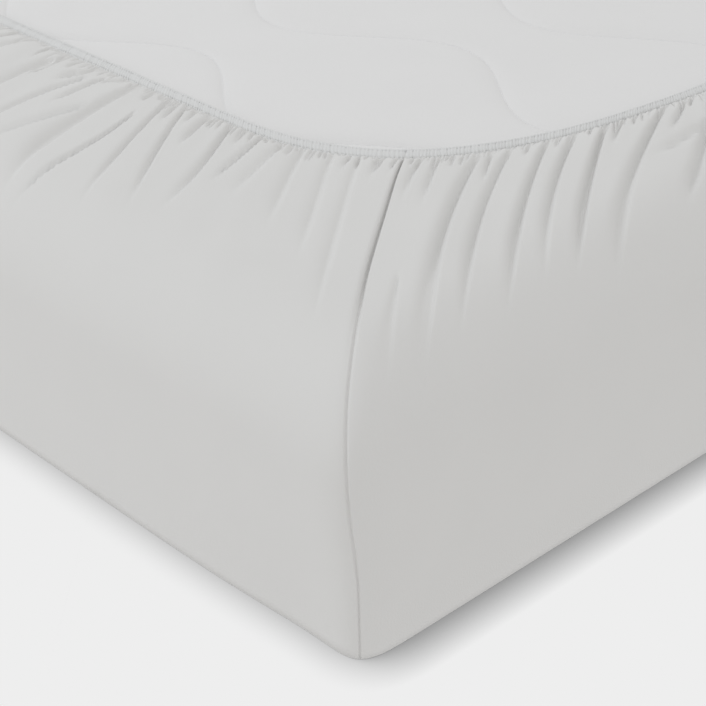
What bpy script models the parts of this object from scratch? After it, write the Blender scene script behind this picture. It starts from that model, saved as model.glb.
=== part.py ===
"""Fitted sheet with a gathered elastic edge, pulled over the upturned mattress that it fits.

Metres, +Z up. The origin is on the floor under the middle, +X runs across the mattress and
+Y along it. The mattress lies on its sleeping side, so the sheet's flat panel is underneath,
its walls are taut, and its gathered edge lies on top, round the mattress's quilted underside.

Each quarter of the sheet is worked out in its own corner's frame: x and y are the distances
from the side wall and from the end wall, and the corner seam is where the two halves meet.
"""
import math
import random
from collections import namedtuple

import bpy
import numpy as np

# Driving sizes.
WIDTH = 1.400  # over the sheet's side walls
LENGTH = 2.000  # over its end walls
CREST = 0.216  # floor to the sheet where it lies on the mattress, between its folds
SHOULDER = 0.085  # how far in from a wall the rounded shoulder starts
SHOULDER_DROP = 0.075  # how far down the wall it ends
CORNER_POWER = 6.0  # squareness of the mattress's upright corners
FOOT_PULL = 0.0065  # how far the corner seams pull the side walls' feet in
PULL_PEAK = 0.05  # and how far from an end wall they pull most
PULL_SHAPE = 1.5  # how soon that fades
PULL_WIDTH = 0.12  # distance in from the side wall that it reaches
CLOTH = 0.002  # thickness of the sheet
CLEARANCE = 0.002  # between the sheet and the mattress
BED_GAP = 0.0005  # between the underside panel and the mattress that lies on it
FLOOR_ROUND = 0.006  # rounding of the bottom edges
ROUND_STEP = 0.3  # share of that rounding at its middle row

# The hem: its distance in from the walls, and its rounded corners.
HEM_IN_SIDE = 0.250
HEM_IN_END = 0.178
HEM_CORNER_X = 0.450
HEM_CORNER_Y = 0.250
HEM_POWER = 2.9
SEAM_BEARING = math.radians(40.9)  # of the seam's upper end, seen from the mattress's corner
SIDE_GATHER = 1.0  # how the hem's fullness is shared out along a side, 1 for evenly
END_GATHER = 3.0  # and along an end, where it lies mostly away from the corners

# The elastic edging.
ELASTIC_WIDTH = 0.014
ELASTIC_THICK = 0.0025
ELASTIC_PROUD = 0.0005
PIECE_GAP = 0.0003

# The mattress's quilting: wavy stitched channels along Y, each the mirror of the next.
WAVE_SPACING = 0.1815
WAVE_REACH = 0.0435
WAVE_LENGTH = 0.335
WAVE_X = -0.5895  # middle of the first of them
WAVE_Y = -0.608  # where the first reaches furthest to +X
WAVE_COUNT = 7
WAVE_STEPS = 6  # rows to one wave
CHANNEL_DEPTH = 0.004
CROWN = 0.004  # rise of the underside's middle above its edges
CROWN_STARTS = 0.285  # distance in from the walls
CROWN_RUN = 0.285  # and how much further in it is complete

# Main troughs between the folds. along: place on the hem from the corner seam, minus towards
# the side and plus towards the end. reach: how far it runs from the hem, over the cloth.
# ridge: height of the fold that follows it.
Fold = namedtuple("Fold", "along reach ridge")
FOLDS = (
    Fold(along=-0.710, reach=0.19, ridge=0.006),
    Fold(along=-0.640, reach=0.22, ridge=0.007),
    Fold(along=-0.565, reach=0.18, ridge=0.005),
    Fold(along=-0.500, reach=0.21, ridge=0.007),
    Fold(along=-0.440, reach=0.16, ridge=0.006),
    Fold(along=-0.385, reach=0.12, ridge=0.006),
    Fold(along=-0.345, reach=0.20, ridge=0.006),
    Fold(along=-0.292, reach=0.24, ridge=0.008),
    Fold(along=-0.247, reach=0.22, ridge=0.006),
    Fold(along=-0.217, reach=0.21, ridge=0.006),
    Fold(along=-0.165, reach=0.20, ridge=0.007),
    Fold(along=-0.130, reach=0.14, ridge=0.005),
    Fold(along=-0.085, reach=0.17, ridge=0.005),
    Fold(along=-0.058, reach=0.21, ridge=0.004),
    Fold(along=-0.033, reach=0.27, ridge=0.004),
    Fold(along=0.000, reach=0.34, ridge=0.006),
    Fold(along=0.028, reach=0.14, ridge=0.005),
    Fold(along=0.062, reach=0.33, ridge=0.008),
    Fold(along=0.092, reach=0.30, ridge=0.007),
    Fold(along=0.126, reach=0.28, ridge=0.006),
    Fold(along=0.156, reach=0.26, ridge=0.006),
    Fold(along=0.186, reach=0.26, ridge=0.007),
    Fold(along=0.245, reach=0.25, ridge=0.008),
    Fold(along=0.288, reach=0.20, ridge=0.006),
    Fold(along=0.330, reach=0.16, ridge=0.006),
    Fold(along=0.380, reach=0.20, ridge=0.007),
)
HEM_RIDGE = 0.3  # share of a fold's height that is left at the hem, which the elastic holds
RIDGE_FULL = 0.035  # distance from the hem at which a fold reaches its height
ALONG_VARIES = 0.006  # how far a fold may be shifted at the three other corners
RIDGE_VARIES = 0.3  # and the share by which its height may differ

# The corners in order round the sheet: which walls they are on, and their own variation.
Corner = namedtuple("Corner", "side end seed")
CORNERS = (
    Corner(side=-1, end=-1, seed=None),
    Corner(side=1, end=-1, seed=2),
    Corner(side=1, end=1, seed=3),
    Corner(side=-1, end=1, seed=4),
)

# How closely the surfaces are sampled.
OUTLINE_STEPS = 240
COLUMN_STEPS = 160
TOP_ROWS = (0.35, 0.80)  # rows of the sheet, as shares of its flat stretch past the hem
SHOULDER_ROWS = (0.25, 0.62, 0.90, 1.0)  # and by the steepness of its shoulder
EDGE_ROWS = (1.0, 0.8, 0.4, 0.0)  # the mattress's rows over its shoulder, by steepness
FLAT = 1e-6  # steepness that still counts as flat
SHARP_ANGLE = math.radians(60)

# Linear colours of the materials.
JERSEY = (0.61, 0.61, 0.60)
ELASTIC = (0.62, 0.62, 0.61)
TICKING = (0.68, 0.68, 0.68)


def corner_outline(in_x, in_y, reach_x, reach_y, power):
    """Points along a quarter of a rounded rectangle, from the middle of its side to that of its end."""
    turn = np.linspace(0, math.pi / 2, OUTLINE_STEPS)
    x = in_x + reach_x * (1 - np.cos(turn) ** (2 / power))
    y = in_y + reach_y * (1 - np.sin(turn) ** (2 / power))
    x = np.concatenate([[in_x], x, [WIDTH / 2]])
    y = np.concatenate([[LENGTH / 2], y, [in_y]])
    return np.stack([x, y], axis=1)


class Line:
    """An outline measured from the point on it that has a given bearing from the corner."""

    def __init__(self, points, bearing):
        steps = np.linalg.norm(np.diff(points, axis=0), axis=1)
        along = np.concatenate([[0], np.cumsum(steps)])
        angles = np.arctan2(points[:, 1], points[:, 0])
        self.points = points
        self.along = along - np.interp(-bearing, -angles, along)

    def at(self, along):
        x = np.interp(along, self.along, self.points[:, 0])
        y = np.interp(along, self.along, self.points[:, 1])
        return np.stack([x, y], axis=-1)


HEM = Line(
    corner_outline(HEM_IN_SIDE, HEM_IN_END, HEM_CORNER_X, HEM_CORNER_Y, HEM_POWER),
    SEAM_BEARING,
)
WALL = Line(corner_outline(0, 0, SHOULDER, SHOULDER, CORNER_POWER), math.pi / 4)


def wall_place(along):
    """Place on the wall's outline of the cloth that meets the hem at along, so gathered there."""
    if along < 0:
        slack = HEM.along[0] - WALL.along[0]
        return along - slack * (along / HEM.along[0]) ** SIDE_GATHER
    slack = WALL.along[-1] - HEM.along[-1]
    return along + slack * (along / HEM.along[-1]) ** END_GATHER


def steepness(x, y):
    """0 on the flat top to 1 at the wall, from the distances in from the two walls."""
    side = np.clip(1 - x / SHOULDER, 0, 1)
    end = np.clip(1 - y / SHOULDER, 0, 1)
    return np.minimum((side**CORNER_POWER + end**CORNER_POWER) ** (1 / CORNER_POWER), 1)


def shoulder(steep):
    """How far the shoulder has fallen below the crest where it is this steep."""
    return SHOULDER_DROP * (1 - np.sqrt(1 - steep**2))


def smooth(value):
    value = np.clip(value, 0, 1)
    return value * value * (3 - 2 * value)


def foot_pull(x, y, z):
    """How far a place on a side wall is pulled in near a corner, from its distances in from the walls."""
    low = np.clip(1 - z / (CREST - SHOULDER_DROP), 0, 1)
    near = y / PULL_PEAK
    return FOOT_PULL * low * (near * np.exp(1 - near)) ** PULL_SHAPE * (1 - smooth(x / PULL_WIDTH))


def fold_height(run, reach):
    """Share of a fold's height at a distance from the hem."""
    rise = HEM_RIDGE + (1 - HEM_RIDGE) * smooth(run / RIDGE_FULL)
    return rise * (1 - smooth(run / reach))


def column(along):
    """The cloth's path from the hem to the shoulder's foot, as points with their distance run."""
    hem, wall = HEM.at(along), WALL.at(wall_place(along))
    share = np.linspace(0, 1, COLUMN_STEPS)[:, None]
    plan = hem + (wall - hem) * share
    steep = steepness(plan[:, 0], plan[:, 1])
    points = np.column_stack([plan, CREST - shoulder(steep)])
    steps = np.linalg.norm(np.diff(points, axis=0), axis=1)
    return points, np.concatenate([[0], np.cumsum(steps)]), steep


def sheet_column(along, ridge, reach):
    """One column of the sheet's outer side, from the hem down to the underside panel."""
    points, run, steep = column(along)
    flat_ends = run[np.searchsorted(steep, FLAT)]
    rows = [ELASTIC_WIDTH + PIECE_GAP]
    rows += [rows[0] + (flat_ends - rows[0]) * share for share in TOP_ROWS]
    rows += [np.interp(level, steep, run) for level in SHOULDER_ROWS]
    found = [[np.interp(row, run, points[:, k]) for k in range(3)] for row in rows]
    for place, row in zip(found, rows):
        place[2] += ridge * fold_height(row, reach)
    foot = WALL.at(wall_place(along))
    inwards = foot - np.array([SHOULDER, SHOULDER])
    inwards = np.where(foot < SHOULDER, inwards, 0)
    inwards /= -np.linalg.norm(inwards)
    for height, drawn_in in ((1, 0), (ROUND_STEP, ROUND_STEP), (0, 1)):
        x, y = foot + inwards * drawn_in * FLOOR_ROUND
        found.append([x + foot_pull(x, y, height * FLOOR_ROUND), y, height * FLOOR_ROUND])
    return found


def elastic_column(along, ridge, reach):
    """One column of the elastic's outer side, from its inner edge to the sheet."""
    points, run, _ = column(along)
    found = []
    for row in (0, ELASTIC_WIDTH):
        x, y, z = (np.interp(row, run, points[:, k]) for k in range(3))
        found.append([x, y, z + ELASTIC_PROUD + ridge * fold_height(row, reach)])
    return found


def corner_folds(corner):
    """(along, ridge height, reach) of each trough and each ridge at one corner, in order."""
    chance = random.Random(corner.seed)
    folds = FOLDS
    if corner.seed is not None:
        folds = [
            Fold(
                fold.along + (chance.uniform(-ALONG_VARIES, ALONG_VARIES) if fold.along else 0),
                fold.reach,
                fold.ridge * (1 + chance.uniform(-RIDGE_VARIES, RIDGE_VARIES)),
            )
            for fold in FOLDS
        ]
    columns = []
    for fold, following in zip(folds, [*folds[1:], None]):
        columns.append((fold.along, 0.0, fold.reach))
        ends = following.along if following else HEM.along[-1]
        columns.append(((fold.along + ends) / 2, fold.ridge, fold.reach))
    return columns


def around(make_column):
    """Every column of the sheet, once round it, as an array of columns by rows by 3 in the world."""
    grid = []
    for corner in CORNERS:
        columns = corner_folds(corner)
        if corner.side * corner.end < 0:
            columns = columns[::-1]
        for along, ridge, reach in columns:
            points = np.array(make_column(along, ridge, reach))
            points[:, 0] = corner.side * (WIDTH / 2 - points[:, 0])
            points[:, 1] = corner.end * (LENGTH / 2 - points[:, 1])
            grid.append(points)
    return np.array(grid)


def outward(grid):
    """Unit normals of a grid whose columns run once round, as seen from outside."""
    across = np.roll(grid, -1, axis=0) - np.roll(grid, 1, axis=0)
    down = np.gradient(grid, axis=1)
    normals = np.cross(down, across)
    return normals / np.linalg.norm(normals, axis=2, keepdims=True)


def new_object(name, points, faces, material):
    mesh = bpy.data.meshes.new(name)
    mesh.from_pydata([tuple(p) for p in points], [], faces)
    mesh.validate()
    mesh.materials.append(material)
    mesh.shade_smooth()
    mesh.set_sharp_from_angle(angle=SHARP_ANGLE)
    item = bpy.data.objects.new(name, mesh)
    bpy.context.scene.collection.objects.link(item)
    return item


def bridged(loops, closed):
    """Points and faces of loops of equal length joined in order, and round again if closed."""
    count = len(loops[0])
    faces = []
    for row in range(len(loops) if closed else len(loops) - 1):
        here, there = row * count, (row + 1) % len(loops) * count
        for i in range(count):
            j = (i + 1) % count
            faces.append((here + i, here + j, there + j, there + i))
    return np.concatenate(loops), faces


def material(name, colour, roughness):
    made = bpy.data.materials.new(name)
    made.use_nodes = True
    shader = made.node_tree.nodes["Principled BSDF"]
    shader.inputs["Base Color"].default_value = (*colour, 1)
    shader.inputs["Roughness"].default_value = roughness
    shader.inputs["Metallic"].default_value = 0
    return made


def fitted_sheet():
    """The one panel of cloth, its corners sewn: a shell open at the top inside its hem."""
    outer = around(sheet_column)
    normals = outward(outer)
    normals[:, -1] = (0, 0, -1)
    inner = outer - CLOTH * normals
    loops = [outer[:, row] for row in reversed(range(outer.shape[1]))]
    loops += [inner[:, row] for row in range(inner.shape[1])]
    points, faces = bridged(loops, closed=False)
    count = len(outer)
    faces.append(tuple(reversed(range(count))))
    faces.append(tuple(range(len(points) - count, len(points))))
    return new_object("fitted_sheet", points, faces, material("jersey", JERSEY, 0.9))


def elastic_edging():
    """The elastic sewn along the hem, which gathers it."""
    outer = around(elastic_column)
    inner = outer - (0, 0, ELASTIC_THICK)
    loops = [outer[:, 1], outer[:, 0], inner[:, 0], inner[:, 1]]
    points, faces = bridged(loops, closed=True)
    return new_object("elastic_edging", points, faces, material("elastic", ELASTIC, 0.8))


def mattress_lines():
    """The grid's lines across the mattress: (x, channel depth there, sway to +X) and its y values."""
    inset = CLOTH + CLEARANCE
    half_x, half_y = WIDTH / 2 - inset, LENGTH / 2 - inset
    edge = [SHOULDER * (1 - level) for level in EDGE_ROWS]
    lines = [(-half_x + step, 0, 0) for step in edge]
    for wave in range(WAVE_COUNT):
        x = WAVE_X + wave * WAVE_SPACING
        sway = WAVE_REACH * (-1) ** wave
        lines.append((x, CHANNEL_DEPTH, sway))
        if wave < WAVE_COUNT - 1:
            lines += [(x + WAVE_SPACING / 3, 0, sway / 3), (x + WAVE_SPACING * 2 / 3, 0, -sway / 3)]
    lines += [(half_x - step, 0, 0) for step in reversed(edge)]
    inner = half_y - SHOULDER
    rows = round(2 * inner / WAVE_LENGTH * WAVE_STEPS)
    ys = [-half_y + step for step in edge[:-1]]
    ys += list(np.linspace(-inner, inner, rows + 1))
    ys += [half_y - step for step in reversed(edge[:-1])]
    return lines, ys


def mattress_point(x, y, depth, sway):
    """A point of the mattress's top side for a grid point, with its corners rounded and quilted."""
    inset = CLOTH + CLEARANCE
    half_x, half_y = WIDTH / 2 - inset, LENGTH / 2 - inset
    side = max(1 - (half_x - abs(x)) / SHOULDER, 0)
    end = max(1 - (half_y - abs(y)) / SHOULDER, 0)
    steep = max(side, end)
    if side and end:
        shrink = steep / (side**CORNER_POWER + end**CORNER_POWER) ** (1 / CORNER_POWER)
        x = math.copysign(half_x - SHOULDER * (1 - side * shrink), x)
        y = math.copysign(half_y - SHOULDER * (1 - end * shrink), y)
    inside = min(half_x - abs(x), half_y - abs(y))
    quilted = float(smooth((inside - SHOULDER) / SHOULDER))
    x += sway * quilted * math.cos(2 * math.pi * (y - WAVE_Y) / WAVE_LENGTH)
    top = CREST - inset - float(shoulder(min(steep, 1)))
    crown = CROWN * float(smooth((inside - CROWN_STARTS) / CROWN_RUN))
    return x, y, top + crown - depth * quilted


def mattress():
    """One filled block with a rounded shoulder and wavy quilted channels on its upper side."""
    lines, ys = mattress_lines()
    top = [[mattress_point(x, y, depth, sway) for x, depth, sway in lines] for y in ys]
    columns, rows = len(lines), len(ys)
    points = [point for row in top for point in row]
    faces = []
    for j in range(rows - 1):
        for i in range(columns - 1):
            a = j * columns + i
            faces.append((a, a + 1, a + columns + 1, a + columns))
    rim = list(range(columns))
    rim += [j * columns + columns - 1 for j in range(1, rows)]
    rim += [(rows - 1) * columns + i for i in reversed(range(columns - 1))]
    rim += [j * columns for j in reversed(range(1, rows - 1))]
    floor = CLOTH + BED_GAP
    above = rim
    for height, drawn_in in ((floor + FLOOR_ROUND, 0), (floor, FLOOR_ROUND)):
        start = len(points)
        for index in rim:
            x, y, _ = points[index]
            pull = float(foot_pull(WIDTH / 2 - abs(x), LENGTH / 2 - abs(y), height))
            x -= math.copysign(min(drawn_in + pull, abs(x)), x)
            y -= math.copysign(min(drawn_in, abs(y)), y)
            points.append((x, y, height))
        below = list(range(start, start + len(rim)))
        for i in range(len(rim)):
            j = (i + 1) % len(rim)
            faces.append((above[j], above[i], below[i], below[j]))
        above = below
    faces.append(tuple(reversed(above)))
    return new_object("mattress", points, faces, material("ticking", TICKING, 0.8))


def main():
    for item in list(bpy.data.objects):
        bpy.data.objects.remove(item, do_unlink=True)
    fitted_sheet()
    elastic_edging()
    mattress()


if __name__ == "__main__":
    main()
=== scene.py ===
"""Looks of a fitted sheet on its upturned mattress.

The sheet's surface is worked out along columns that run from the hem, over the shoulder and
down the wall to the underside. A place on it is given by "along", the distance round the hem,
and "run", the distance from the hem over the cloth. Folds, gathers and the corner seams are
soft troughs in that surface.
"""
import math
from collections import namedtuple

import bpy
import numpy as np
from bpy.props import FloatProperty, FloatVectorProperty, IntProperty, PointerProperty
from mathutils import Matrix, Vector

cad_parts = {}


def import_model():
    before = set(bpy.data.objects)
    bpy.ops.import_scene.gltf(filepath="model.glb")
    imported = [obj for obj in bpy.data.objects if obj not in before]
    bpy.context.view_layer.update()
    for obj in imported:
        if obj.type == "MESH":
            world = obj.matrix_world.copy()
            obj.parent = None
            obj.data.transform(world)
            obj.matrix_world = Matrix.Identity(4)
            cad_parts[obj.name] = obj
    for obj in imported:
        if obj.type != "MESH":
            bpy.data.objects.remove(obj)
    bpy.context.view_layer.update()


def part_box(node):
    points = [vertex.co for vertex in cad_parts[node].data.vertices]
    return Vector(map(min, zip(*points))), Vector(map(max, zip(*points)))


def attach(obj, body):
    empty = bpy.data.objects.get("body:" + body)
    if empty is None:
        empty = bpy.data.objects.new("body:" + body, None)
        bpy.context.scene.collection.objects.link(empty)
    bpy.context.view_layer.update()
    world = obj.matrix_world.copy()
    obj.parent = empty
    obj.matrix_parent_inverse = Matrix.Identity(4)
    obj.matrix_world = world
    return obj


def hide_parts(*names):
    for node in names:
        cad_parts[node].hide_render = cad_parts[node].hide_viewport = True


bl_info = {
    "name": "Fitted sheet",
    "version": (1, 0, 0),
    "blender": (4, 5, 0),
    "location": "View3D > Sidebar > Fitted sheet",
    "description": "Models a gathered fitted sheet on an upturned quilted mattress",
    "category": "Object",
}

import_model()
MILLIMETRE = 0.001

# Sizes read from the frame.
SHEET_LOW, SHEET_HIGH = (np.array(corner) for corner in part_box("fitted_sheet"))
WIDTH, LENGTH = (SHEET_HIGH - SHEET_LOW)[:2]
MATTRESS_LOW, MATTRESS_HIGH = (np.array(corner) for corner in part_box("mattress"))

# Sizes shared with the solids. A power is that of a superellipse: 2 is round, more is squarer.
CREST = 0.216  # height of the cloth's flat part, inside the shoulder
SHOULDER, SHOULDER_DROP = 0.085, 0.075  # how far the shoulder reaches in, and down
CORNER_POWER = 6.0
FOOT_PULL, PULL_SHAPE = 0.0065, 1.5  # how far a side wall's foot is pulled in near a corner
PULL_PEAK, PULL_WIDTH = 0.05, 0.12  # where it is pulled most, and how wide the pull is
FLOOR_ROUND = 0.006
HEM_IN_SIDE, HEM_IN_END = 0.25, 0.178  # the hem's distance in from the walls
HEM_CORNER_X, HEM_CORNER_Y, HEM_POWER = 0.45, 0.25, 2.9
SEAM_BEARING = math.radians(40.9)
SIDE_GATHER, END_GATHER = 1.0, 3.0  # how the hem's gathering is shared out along a side and an end
WAVE_SPACING, WAVE_REACH, WAVE_LENGTH = 0.1815, 0.0435, 0.335
WAVE_X, WAVE_Y, WAVE_COUNT = -0.5895, -0.608, 7  # the first line's middle, a crest's place


# ---- colours and settings


def linear(hex_colour):
    """Linear RGBA of an sRGB hex colour such as C8C8C8."""
    channels = [int(hex_colour[i : i + 2], 16) / 255 for i in (0, 2, 4)]
    bright = [c / 12.92 if c <= 0.04045 else ((c + 0.055) / 1.055) ** 2.4 for c in channels]
    return (*bright, 1)


def hue(name, description, hex_colour):
    """A colour setting."""
    return FloatVectorProperty(
        name=name, description=description, default=linear(hex_colour), subtype="COLOR", size=4,
        min=0, max=1,
    )


def metres(name, description, default):
    """A length setting."""
    return FloatProperty(name=name, description=description, default=default, unit="LENGTH", precision=4)


def amount(name, description, default):
    """A setting for a plain number that isn't below 0."""
    return FloatProperty(name=name, description=description, default=default, min=0)


class SheetSettings(bpy.types.PropertyGroup):
    """What a user would change on the sheet and its elastic."""

    cloth: hue("Cloth", "Colour of the jersey", "D4D3D1")
    elastic: hue("Elastic", "Colour of the elastic edging", "D4D4D3")
    thread: hue("Thread", "Colour of the sewing thread", "D6D6D4")
    fullness: metres("Fullness", "How far the gathered cloth stands off the mattress", 0.0065)
    fold_depth: amount("Fold depth", "Scales every fold's depth", 1.2)
    elastic_width: metres("Elastic width", "Width of the elastic edging", 0.014)
    pucker_pitch: metres("Pucker pitch", "Distance between the elastic's stitched puckers", 0.0031)
    seed: IntProperty(name="Seed", description="Seed of the irregular folds and gathers", default=7)


class MattressSettings(bpy.types.PropertyGroup):
    """What a user would change on the mattress."""

    ticking: hue("Ticking", "Colour of the quilted cover", "DCDBDA")
    thread: hue("Thread", "Colour of the quilting's thread", "E2E2E2")
    channel_depth: metres("Channel depth", "Depth of the quilting at its stitches", 0.0028)
    channel_width: metres("Channel width", "Half width of a quilting channel", 0.008)
    crown: metres("Crown", "Rise of the middle", 0.0035)
    stitch_pitch: metres("Stitch pitch", "Length of a quilting stitch", 0.00405)


class StageSettings(bpy.types.PropertyGroup):
    """The floor and the light."""

    floor: hue("Floor", "Colour of the floor", "EEEEEE")
    sky: amount("Sky", "Strength of the even studio light", 0.8)
    key: amount("Key", "Power of the soft key light, in watts", 34.0)
    top: amount("Top", "Power of the soft light overhead, in watts", 8.0)


# ---- outline of the hem and the wall


def smooth(value):
    """0 below 0, 1 above 1, with soft ends between."""
    value = np.clip(value, 0, 1)
    return value * value * (3 - 2 * value)


class Line:
    """A quarter outline of the sheet, measured from the point at a given bearing from the corner."""

    STEPS = 1200

    def __init__(self, in_x, in_y, reach_x, reach_y, power, bearing):
        turn = np.linspace(0, math.pi / 2, self.STEPS)
        x = in_x + reach_x * (1 - np.cos(turn) ** (2 / power))
        y = in_y + reach_y * (1 - np.sin(turn) ** (2 / power))
        x = np.concatenate([[in_x], x, [WIDTH / 2]])
        y = np.concatenate([[LENGTH / 2], y, [in_y]])
        self.points = np.stack([x, y], axis=1)
        steps = np.linalg.norm(np.diff(self.points, axis=0), axis=1)
        distance = np.concatenate([[0], np.cumsum(steps)])
        self.along = distance - np.interp(-bearing, -np.arctan2(y, x), distance)
        self.side_half, self.end_half = -self.along[0], self.along[-1]

    def at(self, along):
        """Distances in from the two walls."""
        return np.stack([np.interp(along, self.along, self.points[:, k]) for k in (0, 1)], axis=-1)


HEM = Line(HEM_IN_SIDE, HEM_IN_END, HEM_CORNER_X, HEM_CORNER_Y, HEM_POWER, SEAM_BEARING)
WALL = Line(0, 0, SHOULDER, SHOULDER, CORNER_POWER, math.pi / 4)
QUARTER = HEM.side_half + HEM.end_half
ROUND = 4 * QUARTER  # the hem's whole length

# The corners in order round the hem, from the one whose seam is at 0: which walls they are on.
Corner = namedtuple("Corner", "side end seam turn")
CORNERS = (
    Corner(side=-1, end=-1, seam=0, turn=1),
    Corner(side=1, end=-1, seam=2 * HEM.end_half, turn=-1),
    Corner(side=1, end=1, seam=2 * QUARTER, turn=1),
    Corner(side=-1, end=1, seam=2 * QUARTER + 2 * HEM.end_half, turn=-1),
)


def corner_of(along):
    """Index of each place's corner, and its distance from that seam, plus towards the end."""
    along = np.mod(np.asarray(along, float) + HEM.side_half, ROUND) - HEM.side_half
    index = np.zeros(along.shape, int)
    local = along.copy()
    for i, corner in enumerate(CORNERS):
        before, after = HEM.side_half, HEM.end_half
        if corner.turn < 0:
            before, after = after, before
        inside = (along >= corner.seam - before) & (along <= corner.seam + after)
        index[inside] = i
        local[inside] = (corner.turn * (along - corner.seam))[inside]
    return index, local


def wall_place(local):
    """Place on the wall's outline of the cloth that the hem gathers at this place."""
    side = np.clip(-local / HEM.side_half, 0, 1) ** SIDE_GATHER
    end = np.clip(local / HEM.end_half, 0, 1) ** END_GATHER
    side_slack = WALL.side_half - HEM.side_half
    end_slack = WALL.end_half - HEM.end_half
    return np.where(local < 0, local - side_slack * side, local + end_slack * end)


def steepness(x, y):
    """0 on the flat top to 1 at the wall, from the distances in from the two walls."""
    side = np.clip(1 - x / SHOULDER, 0, 1)
    end = np.clip(1 - y / SHOULDER, 0, 1)
    return np.minimum((side**CORNER_POWER + end**CORNER_POWER) ** (1 / CORNER_POWER), 1)


def shoulder(steep):
    """How far the surface lies below its flat part."""
    return SHOULDER_DROP * (1 - np.sqrt(1 - steep**2))


def foot_pull(x, y, z):
    """How far a place is pulled in from a side wall, from its distances in from both walls."""
    low = np.clip(1 - z / (CREST - SHOULDER_DROP), 0, 1)
    near = np.clip(y, 0, None) / PULL_PEAK
    return FOOT_PULL * low * (near * np.exp(1 - near)) ** PULL_SHAPE * (1 - smooth(x / PULL_WIDTH))


UNDERSIDE_IN = 0.03  # how far the columns go on under the bottom edge


class Surface:
    """The smooth cloth without folds, as a table of columns, read between its entries."""

    COLUMNS, STEPS = 900, 420
    TOP, WALL, EDGE = 260, 60, 24  # points that a column is drawn through: top, wall, bottom edge
    CLOSING = 1.6  # how much closer the top's points are at the shoulder's foot

    def __init__(self):
        self.local = np.linspace(-HEM.side_half, HEM.end_half, self.COLUMNS)
        hem = HEM.at(self.local)[:, None, :]
        wall = WALL.at(wall_place(self.local))[:, None, :]
        share = 1 - (1 - np.linspace(0, 1, self.TOP))[None, :, None] ** self.CLOSING
        top = hem + (wall - hem) * share
        drop = shoulder(steepness(top[..., 0], top[..., 1]))
        top = np.concatenate([top, (CREST - drop)[..., None]], axis=2)
        inwards = np.where(wall < SHOULDER, SHOULDER - wall, 0)
        inwards = inwards / np.linalg.norm(inwards, axis=2, keepdims=True)
        turn = np.linspace(0, math.pi / 2, self.EDGE)[1:]
        foot_height = CREST - SHOULDER_DROP - FLOOR_ROUND
        on_wall = FLOOR_ROUND + foot_height * np.linspace(1, 0, self.WALL)[1:]
        z = np.concatenate([on_wall, FLOOR_ROUND * (1 - np.sin(turn)), [0]])
        drawn_in = np.concatenate([0 * on_wall, FLOOR_ROUND * (1 - np.cos(turn)), [UNDERSIDE_IN]])
        below = wall + inwards * drawn_in[None, :, None]
        height = np.broadcast_to(z[None, :, None], (*below.shape[:2], 1))
        below = np.concatenate([below, height], axis=2)
        path = np.concatenate([top, below], axis=1)
        steps = np.linalg.norm(np.diff(path, axis=1), axis=2)
        run = np.concatenate([np.zeros((self.COLUMNS, 1)), np.cumsum(steps, axis=1)], axis=1)
        self.length = run[:, -1]
        self.foot = run[:, self.TOP - 1]
        self.floor = run[:, self.TOP - 1 + self.WALL - 1]
        even = np.linspace(0, 1, self.STEPS)
        read = [[np.interp(even * r[-1], r, p[:, k]) for k in range(3)] for r, p in zip(run, path)]
        self.path = np.array(read).transpose(0, 2, 1)

    def lengths(self, local):
        """Run at the shoulder's foot, the bottom edge and the columns' end, for each place."""
        return [np.interp(local, self.local, known) for known in (self.foot, self.floor, self.length)]

    def at(self, local, run):
        """Points in the corner's frame."""
        i = (local - self.local[0]) / (self.local[1] - self.local[0])
        i = np.clip(i, 0, self.COLUMNS - 1.001)
        j = run / np.interp(local, self.local, self.length) * (self.STEPS - 1)
        j = np.clip(j, 0, self.STEPS - 1.001)
        i0, j0 = i.astype(int), j.astype(int)
        a, b = (i - i0)[..., None], (j - j0)[..., None]
        near = self.path[i0, j0] * (1 - b) + self.path[i0, j0 + 1] * b
        far = self.path[i0 + 1, j0] * (1 - b) + self.path[i0 + 1, j0 + 1] * b
        return near * (1 - a) + far * a


SURFACE = Surface()

# How far a corner seam strays from its place on the hem, plus towards the end, by its run.
SEAM_RUNS = (0, 0.02, 0.075, 0.14, 0.18, 0.23, 0.37, 0.41, 0.46, 0.49, 0.56)
SEAM_STRAYS = (0.0048, 0.004, 0.0, -0.003, -0.005, -0.007, -0.007, -0.005, -0.003, 0.001, 0.002)
STRAY_STEPS = (-0.02, -0.01, 0, 0.01, 0.02)  # the straying is averaged over these, so it's smooth
STRAY_WIDTH = 0.035  # how far from the seam the cloth strays with it


def seam_stray(run):
    """The seam's straying, its corners rounded off."""
    found = sum(np.interp(run + step, SEAM_RUNS, SEAM_STRAYS) for step in STRAY_STEPS)
    return found / len(STRAY_STEPS)


def world(along, run):
    """Points on the smooth cloth in the frame, for arrays of places of the same shape."""
    index, local = corner_of(along)
    local = local + seam_stray(run) * np.exp(-((local / STRAY_WIDTH) ** 2))
    points = SURFACE.at(local, run)
    in_x, in_y, z = np.moveaxis(points, -1, 0)
    in_x = in_x + foot_pull(in_x, in_y, z)
    sides = np.array([corner.side for corner in CORNERS])[index]
    ends = np.array([corner.end for corner in CORNERS])[index]
    return np.stack([sides * (WIDTH / 2 - in_x), ends * (LENGTH / 2 - in_y), z], axis=-1)


# ---- folds and gathers

# Folds of the gathered cloth at one corner, placed one by one. at_hem, half_way, at_end: how far
# round from the corner seam the fold lies there, minus towards the side and plus towards the
# end. begins, ends: its run from the hem. depth, deepening: its depth at the hem, and how many
# times that it has at its end. width: of its gentle flank.
Fold = namedtuple("Fold", "at_hem half_way at_end begins ends depth deepening width")


def in_millimetres(*sizes):
    """A fold from its sizes in millimetres."""
    made = Fold(*(size * MILLIMETRE for size in sizes))
    return made._replace(deepening=sizes[6])


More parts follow.
